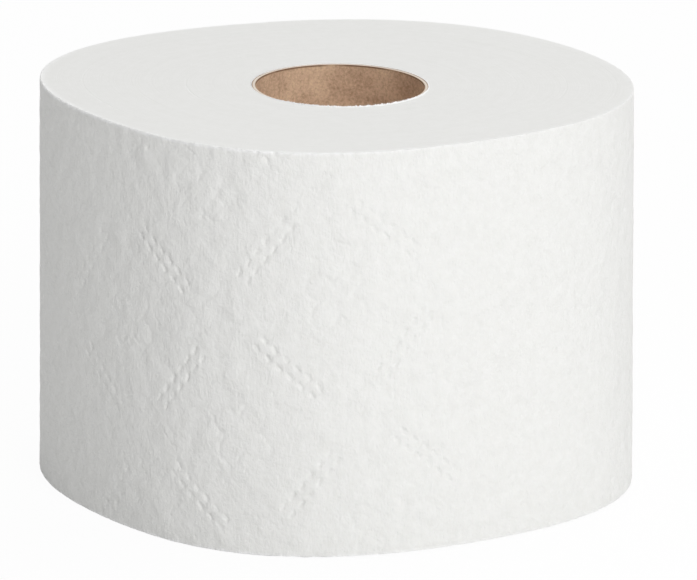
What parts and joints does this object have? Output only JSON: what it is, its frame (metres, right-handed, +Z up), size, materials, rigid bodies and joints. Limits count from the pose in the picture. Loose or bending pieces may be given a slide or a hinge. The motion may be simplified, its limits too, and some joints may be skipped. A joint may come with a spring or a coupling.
{
  "type": "toilet paper roll",
  "caption": "High-capacity roll of soft white embossed toilet tissue, slightly out of round, wound on a small brown cardboard core that is open from end to end.",
  "frame": {"origin": "axis of the core, in the plane of the lower end", "axes": "+Z up along the core's axis, -Y towards the side that the picture shows"},
  "size_m": [0.1423, 0.1371, 0.0965],
  "materials": {
    "tissue": "matt, creped and embossed",
    "core_board": "matt unbleached board"
  },
  "bodies": {
    "root": {"tissue_roll": "tissue", "cardboard_core": "core_board"}
  },
  "joints": []
}
